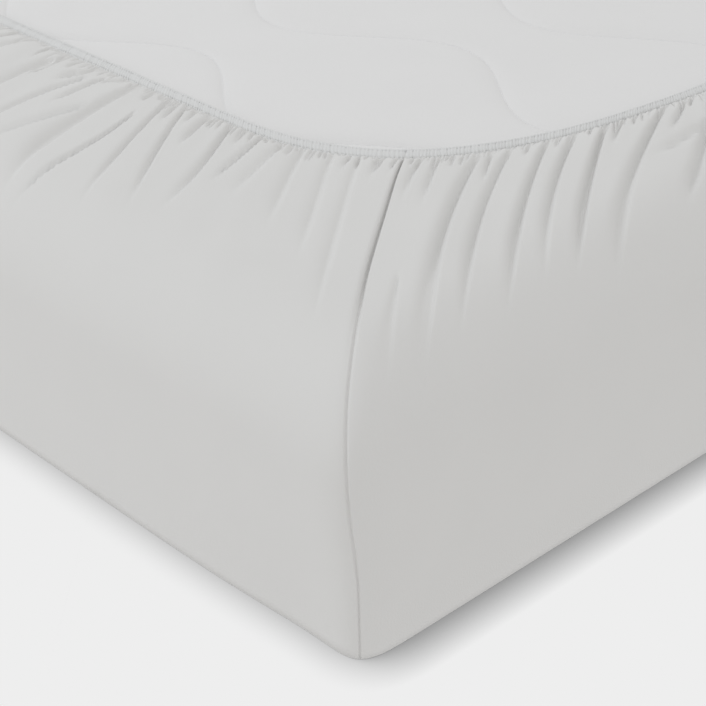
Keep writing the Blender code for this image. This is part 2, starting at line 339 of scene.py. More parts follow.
FOLDS = tuple(in_millimetres(*row) for row in (
    (-512, -528, -534, 14, 200, 4.8, 0.8, 20),
    (-486, -492, -498, 14, 100, 3.4, 0.6, 12),
    (-456, -476, -488, 12, 110, 4.6, 0.8, 12),
    (-434, -452, -468, 12, 100, 4, 0.7, 12),
    (-391, -404, -413, 34, 170, 4.8, 0.6, 18),
    (-379, -386, -393, 12, 85, 8, 0.9, 12),
    (-362, -366, -369, 12, 50, 3.4, 0.7, 8),
    (-331, -349, -366, 12, 75, 5.8, 0.8, 12),
    (-336, -363, -376, 44, 200, 3.4, 0.9, 9),
    (-320, -332, -343, 30, 120, 3.6, 0.8, 8),
    (-308, -336, -364, 90, 220, 2.8, 0.9, 12),
    (-292, -307, -322, 13, 45, 6.2, 0.8, 11),
    (-279, -305, -315, 12, 255, 9, 0.6, 19),
    (-258, -262, -264, 12, 50, 4, 0.8, 10),
    (-258, -276, -308, 70, 270, 3.2, 1.3, 5.5),
    (-237, -242, -243, 14, 245, 3.8, 0.7, 9),
    (-226, -228, -229, 12, 70, 3.4, 0.7, 9),
    (-216, -212, -203, 12, 225, 4.4, 0.5, 9),
    (-200, -204, -206, 12, 60, 3, 0.7, 8),
    (-183, -191, -196, 12, 100, 4.6, 0.7, 12),
    (-158, -164, -180, 14, 210, 5.2, 0.5, 12),
    (-140, -143, -146, 12, 60, 3, 0.7, 9),
    (-120, -134, -152, 12, 140, 3.6, 0.8, 8),
    (-100, -114, -130, 20, 150, 2.8, 0.8, 17),
    (-90, -92, -94, 12, 50, 2.6, 0.7, 8),
    (-80, -85, -88, 12, 180, 2.6, 0.8, 16),
    (-55, -56, -57, 12, 220, 2.6, 0.8, 16),
    (-40, -42, -44, 12, 60, 2.8, 0.7, 8),
    (-33, -33, -32, 20, 300, 2.1, 1, 16),
    (-14, -18, -20, 12, 70, 3, 0.7, 9),
    (18, 12, 10, 13, 110, 3.4, 0.5, 10),
    (21, 20, 23, 230, 360, 2, 1.3, 10),
    (33, 29, 26, 13, 120, 3.4, 0.6, 10),
    (47, 45, 44, 12, 50, 2.6, 0.7, 7),
    (70, 48, 52, 16, 370, 4.8, 1.5, 18),
    (80, 78, 76, 12, 90, 4.4, 0.5, 9),
    (99, 80, 80, 13, 310, 4.4, 1.1, 15),
    (115, 113, 112, 12, 50, 3, 0.6, 8),
    (134, 120, 121, 13, 295, 5.2, 1.2, 16),
    (147, 144, 142, 12, 50, 2.8, 0.6, 7),
    (163, 147, 152, 12, 270, 6, 0.6, 16),
    (195, 182, 179, 12, 270, 7.8, 0.9, 14),
    (216, 207, 202, 12, 80, 4.6, 0.6, 11),
    (230, 226, 224, 12, 50, 3, 0.6, 8),
    (267, 222, 214, 12, 290, 7.2, 0.7, 19),
    (289, 276, 259, 12, 90, 5, 0.7, 11),
    (299, 292, 286, 12, 50, 4.2, 0.7, 8),
    (309, 276, 242, 80, 130, 3.6, 1, 34),
    (299, 283, 264, 85, 210, 6.6, 0.9, 15),
    (322, 304, 298, 12, 160, 4.6, 0.7, 15),
    (350, 330, 318, 12, 250, 5.6, 0.8, 18),
))
SIDE_ENDS, END_ENDS = -0.55, 0.37  # beyond these the listed folds give way to seeded ones
SEAM_FOLD = in_millimetres(0, 0, 0, 12, 460, 3, 1.4, 5.8)
SEAM_LINE_DEPTH, SEAM_LINE_WIDTH = 0.0014, 0.0008
CRISP = 0.38  # width of a fold's steep flank as a share of its gentle one
FLANK_POWER = 2.6  # how far the gentle flank steepens towards the fold's line
FOLD_RISE, GATHER_RISE = 0.012, 0.008  # run over which a fold and a gather deepen at their start
# Shares of a fold's width: at its start, what is added by its end, and what is lost again from
# NARROWS_FROM of its way on. It keeps its depth up to DEEP_UNTIL of its way.
WIDTH_START, WIDTH_ADDED, NARROWS, NARROWS_FROM, DEEP_UNTIL = 0.45, 0.75, 0.45, 0.6, 0.62
# Limits of a seeded fold's end, depth and width.
LARGE_FOLD = ((0.16, 0.26), (0.0042, 0.0062), (0.014, 0.02))
SMALL_FOLD = ((0.05, 0.13), (0.0026, 0.0042), (0.008, 0.013))
LARGE_SHARE = 0.45


def seeded_folds(chance):
    """Folds for the stretches along the middles of the sides and ends, in the same form."""
    found = []
    spare = 0.01
    for start, stop in ((spare - HEM.side_half, SIDE_ENDS), (END_ENDS, HEM.end_half - spare)):
        along = start
        while along < stop:
            limits = LARGE_FOLD if chance.random() < LARGE_SHARE else SMALL_FOLD
            drift = chance.uniform(-0.03, 0.01)
            ends, depth, width = (chance.uniform(*limit) for limit in limits)
            bend = along + drift * chance.uniform(0.5, 0.9)
            found.append(Fold(along, bend, along + drift, 0.012, ends, depth, 0.8, width))
            along += chance.uniform(0.016, 0.034)
    return found


def all_folds(seed):
    """Each fold with its corner. The first corner's are as listed, the others vary from them."""
    chance = np.random.default_rng(seed)
    found = []
    for number, corner in enumerate(CORNERS):
        for fold in FOLDS:
            if number:
                shift = chance.uniform(-0.007, 0.007)
                bend = chance.uniform(-0.006, 0.006)
                fold = fold._replace(
                    at_hem=fold.at_hem + shift,
                    half_way=fold.half_way + shift + bend,
                    at_end=fold.at_end + shift + 1.5 * bend,
                    ends=fold.ends * chance.uniform(0.8, 1.12),
                    depth=fold.depth * chance.uniform(0.65, 1.15),
                )
            found.append((corner, fold))
        found += [(corner, fold) for fold in [*seeded_folds(chance), SEAM_FOLD]]
    return found


GATHER_PITCH = 0.0046
ROUND_ONCE = Corner(0, 0, 0, 1)  # the whole hem, for a fold of no one corner


def all_gathers(seed):
    """Short shallow pleats that the elastic makes all along the hem."""
    chance = np.random.default_rng(seed + 1)
    count = round(ROUND / GATHER_PITCH)
    places = (np.arange(count) + chance.uniform(-0.3, 0.3, count)) * ROUND / count
    found = []
    for place in places:
        ends = 0.022 + 0.036 * chance.random() ** 2
        depth, width = chance.uniform(0.0016, 0.004), chance.uniform(0.0034, 0.0062)
        lean = chance.uniform(-0.002, 0.001)
        pleat = Fold(place, place + lean, place + 2 * lean, 0.006, ends, depth, 0.6, width)
        found.append((ROUND_ONCE, pleat))
    return found


def trough(across):
    """Profile of a fold: a flank that steepens on its minus side, a short one on its plus side."""
    gentle = np.clip(1 + across, 0, 1) ** FLANK_POWER
    steep = 1 - smooth(across / CRISP)
    return np.where(across < 0, gentle, steep)


def carve(depths, along, run, corner, fold, rise):
    """Adds one fold's depth to a grid of places whose along is the same down each column.

    rise is the run over which the fold deepens at its start.
    """
    to_middle, to_end = fold.half_way - fold.at_hem, fold.at_end - fold.at_hem
    centre = corner.seam + corner.turn * fold.at_hem
    reach = 1.5 * fold.width + max(abs(to_middle), abs(to_end)) + 0.01
    away = np.mod(along - centre + ROUND / 2, ROUND) - ROUND / 2
    near = np.abs(away) < reach
    if not near.any():
        return
    r = run[near]
    share = np.clip((r - fold.begins) / (fold.ends - fold.begins), 0, 1)
    path = share * (4 * to_middle - to_end) + share**2 * (2 * to_end - 4 * to_middle)
    narrowed = 1 - NARROWS * smooth((share - NARROWS_FROM) / (1 - NARROWS_FROM))
    width = fold.width * (WIDTH_START + WIDTH_ADDED * np.sqrt(share)) * narrowed
    across = (corner.turn * away[near][:, None] - path) / width
    faded = 1 - smooth((share - DEEP_UNTIL) / (1 - DEEP_UNTIL))
    height = smooth((r - fold.begins) / rise) * faded
    depths[near] += fold.depth * (1 + (fold.deepening - 1) * share) * height * trough(across)


def wavy(positions, chance, pitch, period):
    """Smooth seeded noise from -1 to 1 round the hem, of about this pitch."""
    count = max(3, round(period / pitch))
    values = chance.uniform(-1, 1, count)
    place = np.mod(positions, period) / period * count
    i = np.floor(place).astype(int) % count
    t = smooth(place - np.floor(place))
    return values[i] * (1 - t) + values[(i + 1) % count] * t


FULL_AT_HEM, FULL_FROM, FULL_REACH = 0.06, 0.011, 0.022  # the fullness's share, start and rise
TAUT_FROM, TAUT_OVER = 0.15, 0.2  # run from which the cloth grows taut, and over which
LUMP_PITCHES, LUMPS = (0.075, 0.034, 0.016), 0.3  # unevenness of the fullness
LUMPS_WIDEN, WIDEN_FROM, WIDEN_OVER = 1.4, 0.02, 0.16  # its pitch grows away from the hem
SOFTNESS = 0.001  # how gently a fold's bottom comes to lie on the mattress
TUCK, TUCK_FROM, TUCK_REACH = 0.002, 0.012, 0.014  # how far the elastic presses the cloth in
SEAM_FROM, SEAM_OVER = 0.012, 0.01  # run at which a corner seam's line starts to show


def settled(run, start, reach):
    """1 up to the start, and less and less beyond it."""
    return np.exp(-np.clip(run - start, 0, None) / reach)


def relief(along, run, settings):
    """How far the cloth stands off its smooth surface, for a grid whose along is 1D."""
    chance = np.random.default_rng(settings.seed + 2)
    _, local = corner_of(along)
    swell = FULL_AT_HEM + (1 - FULL_AT_HEM) * (1 - settled(run, FULL_FROM, FULL_REACH))
    full = settings.fullness * swell * (1 - smooth((run - TAUT_FROM) / TAUT_OVER))
    mix = smooth((run - WIDEN_FROM) / WIDEN_OVER)
    lumps = 0.0
    for level, pitch in enumerate(LUMP_PITCHES):
        inner = wavy(along, chance, pitch, ROUND)[:, None]
        outer = wavy(along, chance, pitch * LUMPS_WIDEN, ROUND)[:, None]
        lumps = lumps + (inner * (1 - mix) + outer * mix) * 0.5**level
    full = full * (1 + LUMPS * lumps)
    depths, pleats = np.zeros_like(run), np.zeros_like(run)
    for corner, fold in all_folds(settings.seed):
        carve(depths, along, run, corner, fold, FOLD_RISE)
    for corner, fold in all_gathers(settings.seed):
        carve(pleats, along, run, corner, fold, GATHER_RISE)
    height = full - settings.fold_depth * depths - pleats
    height = 0.5 * (height + np.sqrt(height**2 + SOFTNESS**2)) - SOFTNESS / 2
    height = height - TUCK * settled(run, TUCK_FROM, TUCK_REACH)
    near_seam = np.exp(-((local / SEAM_LINE_WIDTH) ** 2))[:, None]
    return height - SEAM_LINE_DEPTH * near_seam * smooth((run - SEAM_FROM) / SEAM_OVER)


# ---- mesh helpers


def new_piece(name, points, faces, material, uv=None):
    """A smooth mesh object at the origin. uv holds one pair for each vertex."""
    mesh = bpy.data.meshes.new(name)
    mesh.from_pydata(np.asarray(points).tolist(), [], faces)
    mesh.materials.append(material)
    mesh.shade_smooth()
    if uv is not None:
        layer = mesh.uv_layers.new(name="Cloth")
        corners = np.empty(len(mesh.loops), int)
        mesh.loops.foreach_get("vertex_index", corners)
        layer.data.foreach_set("uv", np.asarray(uv)[corners].ravel())
    piece = bpy.data.objects.new(name, mesh)
    bpy.context.scene.collection.objects.link(piece)
    return piece


def grid_index(first, columns, count):
    """Indices of a grid's points, stored row by row from the index first."""
    return first + np.arange(count).reshape(-1, columns)


def grid_faces(index, closed=True):
    """Quads of a grid of indices, its columns going once round if closed."""
    after = np.roll(index, -1, axis=1)
    quads = np.stack([index[:-1], index[1:], after[1:], after[:-1]], axis=-1)
    return (quads if closed else quads[:, :-1]).reshape(-1, 4).tolist()


def grid_normals(points):
    """Unit normals of an array of rows by columns by 3 that goes once round."""
    across = np.roll(points, -1, axis=1) - np.roll(points, 1, axis=1)
    down = np.gradient(points, axis=0)
    normals = np.cross(down, across)
    return normals / np.linalg.norm(normals, axis=2, keepdims=True)


def ride(piece, solid=None):
    """Finishes a piece: it belongs to the one body and may stand for a solid."""
    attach(piece, "root")
    if solid:
        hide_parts(solid)


# ---- materials


def node(tree, kind, settings=(), **inputs):
    """Adds a shader node; an input is a value or the socket that feeds it."""
    made = tree.nodes.new(kind)
    for name, value in dict(settings).items():
        setattr(made, name, value)
    for name, value in inputs.items():
        socket = made.inputs[int(name[1:]) if name[0] == "_" else name.replace("_", " ")]
        if isinstance(value, bpy.types.NodeSocket):
            tree.links.new(value, socket)
        else:
            socket.default_value = value
    return made


PATCHES = 14.0  # scale of a cloth's faint unevenness


def fabric_material(name, colour, roughness, sheen, grain_mm, grain_depth_mm, mottle):
    """A matt fabric with a fine grain in its bump and a faint unevenness in its colour."""
    material = bpy.data.materials.new(name)
    material.use_nodes = True
    tree = material.node_tree
    shader = tree.nodes["Principled BSDF"]
    shader.inputs["Roughness"].default_value = roughness
    shader.inputs["Specular IOR Level"].default_value = 0.25
    shader.inputs["Sheen Weight"].default_value = sheen
    shader.inputs["Sheen Roughness"].default_value = 0.5
    place = node(tree, "ShaderNodeTexCoord").outputs["Object"]
    fine = 1 / (grain_mm * MILLIMETRE)
    grain = node(tree, "ShaderNodeTexNoise", Vector=place, Scale=fine, Detail=2.0).outputs["Fac"]
    patches = node(tree, "ShaderNodeTexNoise", Vector=place, Scale=PATCHES, Detail=3.0).outputs["Fac"]
    shade = node(
        tree, "ShaderNodeMapRange", Value=patches, From_Min=0.3, From_Max=0.7,
        To_Min=1 - mottle, To_Max=1 + mottle,
    ).outputs["Result"]
    tint = node(tree, "ShaderNodeVectorMath", {"operation": "SCALE"}, _0=colour[:3], Scale=shade)
    tree.links.new(tint.outputs["Vector"], shader.inputs["Base Color"])
    bump = node(
        tree, "ShaderNodeBump", Height=grain, Distance=grain_depth_mm * MILLIMETRE, Strength=1.0
    )
    tree.links.new(bump.outputs["Normal"], shader.inputs["Normal"])
    return material


def jersey(settings):
    """Combed cotton jersey: quite matt, its wales too fine to see, so a fine soft grain."""
    return fabric_material(
        "cotton jersey", settings.cloth, roughness=0.85, sheen=0.12, grain_mm=1.6,
        grain_depth_mm=0.1, mottle=0.006,
    )


def covered_elastic(settings):
    """Knitted elastic in a jersey binding: the sheet's shade, its knit a little tighter."""
    return fabric_material(
        "jersey-bound elastic", settings.elastic, roughness=0.8, sheen=0.1, grain_mm=0.9,
        grain_depth_mm=0.08, mottle=0.006,
    )


def sewing_thread(name, colour):
    """Polyester core-spun thread: a little smoother than the cloth."""
    return fabric_material(
        name, colour, roughness=0.6, sheen=0.0, grain_mm=0.5, grain_depth_mm=0.03, mottle=0.0
    )


def ticking(settings):
    """White knitted mattress ticking over wadding: soft and matt, with a fine knitted grain."""
    return fabric_material(
        "knitted ticking", settings.ticking, roughness=0.85, sheen=0.1, grain_mm=2.2,
        grain_depth_mm=0.16, mottle=0.005,
    )


# ---- the sheet

HEM_STARTS = 0.01  # run at which the sheet comes out from under the elastic
FINE_RUN = 0.04  # the sheet has twice the columns up to this run, where its pleats are small
FINE_ROWS, TOP_ROWS, WALL_ROWS, EDGE_ROWS = 13, 36, 5, 6
EDGE_ARC = 1.57 * FLOOR_ROUND  # run round the bottom edge
SHEET_PITCHES = (0.0015, 0.0068)  # between columns near the first corner, and elsewhere
NEAR_FROM, NEAR_TO, NEAR_FADE = -0.56, 0.4, 0.12
SEAM_PITCH, SEAM_FINE, SEAM_COARSENS = 0.00045, 0.002, 0.22  # between columns at a seam


def pitch_at(along, pitches):
    """Distance between columns, from the near and the far one."""
    near, far = pitches
    return near + (far - near) * smooth(max(NEAR_FROM - along, along - NEAR_TO) / NEAR_FADE)


def column_places():
    """Places of the sheet's columns round the hem, closer at the first corner and at every seam."""
    seams = np.array([corner.seam for corner in CORNERS])
    places, along = [], -HEM.side_half
    while along < ROUND - HEM.side_half - 0.4 * SHEET_PITCHES[1]:
        places.append(along)
        from_seam = np.abs(np.mod(along - seams + ROUND / 2, ROUND) - ROUND / 2).min()
        at_seam = SEAM_PITCH + SEAM_COARSENS * max(from_seam - SEAM_FINE, 0)
        along += min(pitch_at(along, SHEET_PITCHES), at_seam)
    places = np.array(places)
    for seam in seams:
        places[np.abs(places - seam).argmin()] = seam
    return places


def sheet_rows(foot, floor, length):
    """Runs of the rows below the fine strip, for each column: over the top, down, and under."""
    def between(start, stop, count):
        return start + (stop - start) * np.linspace(0, 1, count + 1)[1:, None]

    top = between(FINE_RUN, foot, TOP_ROWS)
    wall = between(foot, floor - EDGE_ARC, WALL_ROWS)
    edge = between(floor - EDGE_ARC, floor, EDGE_ROWS)
    under = between(floor, length, 1)
    return np.concatenate([top, wall, edge, under])


def lifted(along, run, settings):
    """Points of the folded cloth, rows by columns."""
    base = world(np.broadcast_to(along, run.shape), run)
    normals = grid_normals(base)
    heights = relief(along, run.T, settings).T * smooth(base[..., 2] / FLOOR_ROUND)
    return base + normals * heights[..., None]


def sheet_mesh(settings, material):
    """The cloth: a fine strip at the hem, a row of triangles that joins it to half as many
    columns, those, and one face under the mattress."""
    coarse = column_places()
    following = np.append(coarse[1:], coarse[0] + ROUND)
    fine = np.stack([coarse, (coarse + following) / 2], axis=1).ravel()
    local, fine_local = corner_of(coarse)[1], corner_of(fine)[1]
    strip_runs = np.linspace(HEM_STARTS, FINE_RUN, FINE_ROWS)[:, None] * np.ones(len(fine))
    strip = lifted(fine, strip_runs, settings)
    rows = sheet_rows(*SURFACE.lengths(local))
    body_runs = np.concatenate([np.full((1, len(coarse)), FINE_RUN), rows])
    body = lifted(coarse, body_runs, settings)[1:]
    body[-2:, :, 2] = 0
    points = np.concatenate([strip.reshape(-1, 3), body.reshape(-1, 3)])
    runs = np.concatenate([strip_runs.ravel(), rows.ravel()])
    locals_ = np.concatenate([np.tile(fine_local, FINE_ROWS), np.tile(local, len(body))])
    strip_index = grid_index(0, len(fine), strip_runs.size)
    body_index = grid_index(strip_runs.size, len(coarse), rows.size)
    faces = grid_faces(strip_index)
    last, first = strip_index[-1], body_index[0]
    next_fine, after = np.roll(last, -1), np.roll(first, -1)
    for i in range(len(coarse)):
        a, m, b = last[2 * i], last[2 * i + 1], next_fine[2 * i + 1]
        faces += [[a, first[i], m], [m, first[i], after[i]], [m, after[i], b]]
    faces += grid_faces(body_index)
    faces.append(body_index[-1][::-1].tolist())
    uv = np.stack([locals_, runs], axis=1)
    return new_piece("fitted_sheet_cloth", points, faces, material, uv)


class SHEET_OT_panel(bpy.types.Operator):
    """Model the sheet's one panel of jersey with its folds and sewn corners"""

    bl_idname = "sheet.panel"
    bl_label = "Sheet panel"

    def execute(self, context):
        settings = context.scene.fitted_sheet
        piece = sheet_mesh(settings, jersey(settings))
        ride(piece, "fitted_sheet")
        return {"FINISHED"}


# ---- the elastic edging

ELASTIC_PITCHES = (0.0006, 0.0012)
TURN_UP = 0.0022  # how far the pull of the gathers lifts the edging's inner edge
STITCH_ROWS = (0.0028, 0.0122)  # distance of the two stitched rows from the inner edge
UNEVEN, PUCKER_HEIGHT = 0.0002, 0.001
LEANS = 400  # how many times the puckers' lean changes round the hem


def elastic_places():
    """Places of the edging's columns round the hem."""
    places, along = [], -HEM.side_half
    while along < ROUND - HEM.side_half - 0.5 * ELASTIC_PITCHES[1]:
        places.append(along)
        along += pitch_at(along, ELASTIC_PITCHES)
    return np.array(places)


def hem_height(along, run, settings):
    """Height of the edging's middle above the smooth surface, a little uneven round the hem."""
    chance = np.random.default_rng(settings.seed + 4)
    uneven = wavy(along, chance, 0.045, ROUND) + 0.5 * wavy(along, chance, 0.018, ROUND)
    return TURN_UP * (1 - run / settings.elastic_width) - TUCK + UNEVEN * uneven


def elastic_section(settings):
    """(run, height, pucker share) round the edging's section, from its outer edge over the top."""
    width = settings.elastic_width
    first, second = STITCH_ROWS
    return (
        (width + 0.0004, -0.0006, 0.3),
        (width, 0.0003, 0.9),
        (second + 0.0008, 0.0007, 1.3),
        (second, 0.0009, 1.7),
        (second - 0.001, 0.0011, 1.2),
        ((first + second) / 2 + 0.0016, 0.0013, 0.7),
        ((first + second) / 2 - 0.0016, 0.0013, 0.7),
        (first + 0.001, 0.0012, 1.1),
        (first, 0.0011, 1.6),
        (first - 0.0009, 0.001, 0.9),
        (0.001, 0.0009, 0.35),
        (0.0002, 0.0006, 0.1),
        (0, 0, 0),
        (0.0005, -0.0007, 0),
        (width * 0.5, -0.0008, 0),
        (width - 0.0004, -0.0008, 0),
    )


class Puckers:
    """The edging's fine gathering: ribs between stitches, with narrow uneven creases."""

    def __init__(self, settings):
        chance = np.random.default_rng(settings.seed + 5)
        count = round(ROUND / settings.pucker_pitch)
        self.places = (np.arange(count) + chance.uniform(-0.2, 0.2, count)) * ROUND / count
        self.heights = chance.uniform(0.35, 1.0, count)
        self.leans = chance.uniform(-1, 1, LEANS)

    def at(self, along, run):
        """Height from -1 in a crease to 0 on a rib."""
        lean = np.interp(np.mod(along, ROUND), np.linspace(0, ROUND, LEANS), self.leans)
        wrapped = np.mod(along + (0.1 * lean - 0.1) * run, ROUND)
        i = np.searchsorted(self.places, wrapped) % len(self.places)
        before, after = self.places[i - 1], self.places[i]
        gap = np.mod(after - before, ROUND)
        share = np.mod(wrapped - before, ROUND) / gap
        crease = self.heights[i - 1] * (1 - share) + self.heights[i] * share
        return -crease * (1 - np.sin(math.pi * np.clip(share, 0, 1)))


class SHEET_OT_elastic(bpy.types.Operator):
    """Model the gathered elastic sewn along the hem"""

    bl_idname = "sheet.elastic"
    bl_label = "Elastic edging"

    def execute(self, context):
        settings = context.scene.fitted_sheet
        along = elastic_places()
        _, local = corner_of(along)
        creases = Puckers(settings)
        at_seam = np.exp(-((local / SEAM_LINE_WIDTH) ** 2))
        section = elastic_section(settings)
        rows = []
        for run, height, share in section:
            points = world(along, np.full(len(along), run))
            points[:, 2] += height + hem_height(along, run, settings)
            points[:, 2] += PUCKER_HEIGHT * share * (creases.at(along, run) - at_seam)
            rows.append(points)
        points = np.concatenate(rows)
        index = grid_index(0, len(along), len(points))
        faces = grid_faces(np.concatenate([index, index[:1]]))
        runs = [run for run, _, _ in section]
        uv = np.stack([np.tile(local, len(rows)), np.repeat(runs, len(along))], axis=1)
        material = covered_elastic(settings)
        piece = new_piece("elastic_edging_gathered", points, faces, material, uv)
        ride(piece, "elastic_edging")
        return {"FINISHED"}


# ---- the mattress

MATTRESS_TOP = 0.212
QUILT_FADE = 0.06  # how far inside the shoulder the quilting reaches its full depth
CROWN_FROM, CROWN_OVER = 0.26, 0.2  # where the crown begins to rise, and over which distance
SWAY_FADE_X, SWAY_FADE = 0.045, 0.05  # over which the columns take up the lines' waves
LEVELS = np.cos(np.linspace(0, math.pi / 2, 12))  # places over the shoulder, 1 at the wall
LENGTHWISE = 216  # rows between the shoulders
# Distances of the mesh's columns from a quilted line.
QUILT_STEPS = np.array([0, 0.0012, 0.003, 0.006, 0.01, 0.016, 0.024, 0.036, 0.05, 0.068])
HALF_X, HALF_Y = (MATTRESS_HIGH - MATTRESS_LOW)[:2] / 2
FOOT = MATTRESS_LOW[2]
# Height of each ring down the walls, and how far it is drawn in.
WALL_RINGS = ((0.12, 0), (FOOT + FLOOR_ROUND, 0), (FOOT + 0.003, 0.003), (FOOT, FLOOR_ROUND))


def wave_sway(y):
    """How far a quilted line lies off its middle."""
    return WAVE_REACH * np.cos(2 * math.pi * (y - WAVE_Y) / WAVE_LENGTH)


def wave_slope(y):
    """How fast wave_sway falls along y."""
    turn = 2 * math.pi / WAVE_LENGTH
    return WAVE_REACH * turn * np.sin(turn * (y - WAVE_Y))


def wave_lines():
    """Middle and sign of each quilted line, each the mirror of the one before."""
    return [(WAVE_X + i * WAVE_SPACING, (-1) ** i) for i in range(WAVE_COUNT)]


def quilting(x, y, settings):
    """Depth of the quilted channels at a place."""
    tilt = 1 / np.sqrt(1 + wave_slope(y) ** 2)
    nearest = np.full(np.broadcast(x, y).shape, 1.0)
    for middle, sign in wave_lines():
        nearest = np.minimum(nearest, np.abs(x - middle - sign * wave_sway(y)) * tilt)
    return settings.channel_depth * np.exp(-nearest / settings.channel_width)


def mattress_height(x, y, settings):
    """Height of the mattress's upper side."""
    in_x, in_y = HALF_X - np.abs(x), HALF_Y - np.abs(y)
    inside = np.minimum(in_x, in_y)
    crest = MATTRESS_TOP - shoulder(steepness(in_x, in_y))
    quilted = smooth((inside - SHOULDER) / QUILT_FADE)
    crown = settings.crown * smooth((inside - CROWN_FROM) / CROWN_OVER)
    return crest + crown - quilting(x, y, settings) * quilted


def quilt_axis(half):
    """Positions across the mattress before they are swayed, close together at each quilted line."""
    over = half - SHOULDER * (1 - LEVELS)
    places = [-over, over]
    for middle, _ in wave_lines():
        places += [middle - QUILT_STEPS, middle + QUILT_STEPS]
    places = np.unique(np.round(np.concatenate(places), 6))
    shoulder_zone = np.abs(places) > half - SHOULDER - 0.0005
    on_lines = np.abs(places) < half - SHOULDER - 0.006
    return places[shoulder_zone | on_lines]


def mattress_grid(settings):
    """Points of the upper side, in rows along the mattress."""
    over = HALF_Y - SHOULDER * (1 - LEVELS[:-1])
    flat = np.linspace(SHOULDER - HALF_Y, HALF_Y - SHOULDER, LENGTHWISE)
    x, y = np.meshgrid(quilt_axis(HALF_X), np.concatenate([-over, flat, over[::-1]]))
    side = np.clip(1 - (HALF_X - np.abs(x)) / SHOULDER, 0, 1)
    end = np.clip(1 - (HALF_Y - np.abs(y)) / SHOULDER, 0, 1)
    both = (side**CORNER_POWER + end**CORNER_POWER) ** (1 / CORNER_POWER)
    shrink = np.where(both > 0, np.maximum(side, end) / np.maximum(both, 1e-9), 1)
    at_corner = (side > 0) & (end > 0)
    x = np.where(at_corner, np.sign(x) * (HALF_X - SHOULDER * (1 - side * shrink)), x)
    y = np.where(at_corner, np.sign(y) * (HALF_Y - SHOULDER * (1 - end * shrink)), y)
    middles, signs = np.array(wave_lines(), float).T
    in_x = HALF_X - np.abs(x)
    inside = np.minimum(in_x, HALF_Y - np.abs(y))
    swayed = smooth((in_x - SHOULDER) / SWAY_FADE_X) * smooth((inside - SHOULDER) / SWAY_FADE)
    x = x + np.interp(x, middles, signs) * wave_sway(y) * swayed
    return np.stack([x, y, mattress_height(x, y, settings)], axis=-1)


def mattress_mesh(settings, material):
    """The upper side, rings down the walls and one face at the floor."""
    upper = mattress_grid(settings)
    index = grid_index(0, upper.shape[1], upper[..., 0].size)
    faces = [face[::-1] for face in grid_faces(index, closed=False)]
    rim = np.concatenate([index[0], index[1:, -1], index[-1, -2::-1], index[-2:0:-1, 0]])
    points, above = [upper.reshape(-1, 3)], rim
    edge = points[0][rim]
    for i, (height, drawn_in) in enumerate(WALL_RINGS):
        ring = edge.copy()
        pull = foot_pull(WIDTH / 2 - np.abs(edge[:, 0]), LENGTH / 2 - np.abs(edge[:, 1]), height)
        ring[:, 0] -= np.sign(edge[:, 0]) * np.minimum(np.abs(edge[:, 0]), drawn_in + pull)
        ring[:, 1] -= np.sign(edge[:, 1]) * np.minimum(np.abs(edge[:, 1]), drawn_in)
        ring[:, 2] = height
        below = index.size + i * len(rim) + np.arange(len(rim))
        quads = [np.roll(above, -1), above, below, np.roll(below, -1)]
        faces += np.stack(quads, axis=1).tolist()
        points.append(ring)
        above = below
    faces.append(above[::-1].tolist())
    points = np.concatenate(points)
    return new_piece("quilted_mattress", points, faces, material, points[:, :2])


class SHEET_OT_mattress(bpy.types.Operator):
    """Model the upturned mattress with its wavy quilting"""

    bl_idname = "sheet.mattress"
    bl_label = "Quilted mattress"

    def execute(self, context):
        settings = context.scene.fitted_mattress
        piece = mattress_mesh(settings, ticking(settings))
        ride(piece, "mattress")
        return {"FINISHED"}


# ---- stitches

PRESSED = 0.8  # height of a stitch as a share of its width
HEM_THREAD, QUILTING_THREAD = 0.0009, 0.0001  # how far a stitch's middle lies above what it holds
QUILTING_IN = 0.14  # the lines end at the latest this far from the mattress's ends


def stitch_shape(length, radius):
    """Points and faces of one stitch of thread lying along X, six-sided and round-ended."""
    turns = (np.arange(6) + 0.5) * math.pi / 3
    down, turn = np.meshgrid(np.linspace(0, math.pi, 6)[1:-1], turns, indexing="ij")
    ball = [np.cos(down), np.sin(down) * np.sin(turn), np.sin(down) * np.cos(turn)]
    points = [*np.stack(ball, axis=-1).reshape(-1, 3), (1, 0, 0), (-1, 0, 0)]
    index = grid_index(0, 6, down.size)
    faces = grid_faces(index)
    for pole, ring in ((down.size, index[0]), (down.size + 1, index[-1][::-1])):
        faces += [[pole, i, j] for i, j in zip(ring.tolist(), np.roll(ring, -1).tolist())]
    return np.array(points) * (length / 2, radius, PRESSED * radius), [face[::-1] for face in faces]


def sew(name, stitch, places, directions, material):
    """Copies the stitch to every place, upright, its length along the direction, as one mesh."""
    shape, faces = stitch
    places, directions = np.concatenate(places), np.concatenate(directions)
    x = directions / np.linalg.norm(directions, axis=1, keepdims=True)
    y = np.cross((0, 0, 1), x)
    y /= np.linalg.norm(y, axis=1, keepdims=True)
    axes = np.stack([x, y, np.cross(x, y)], axis=1)
    points = (shape[None] @ axes + places[:, None]).reshape(-1, 3)
    starts = range(0, len(points), len(shape))
    all_faces = [[start + i for i in face] for start in starts for face in faces]
    return new_piece(name, points, all_faces, material)


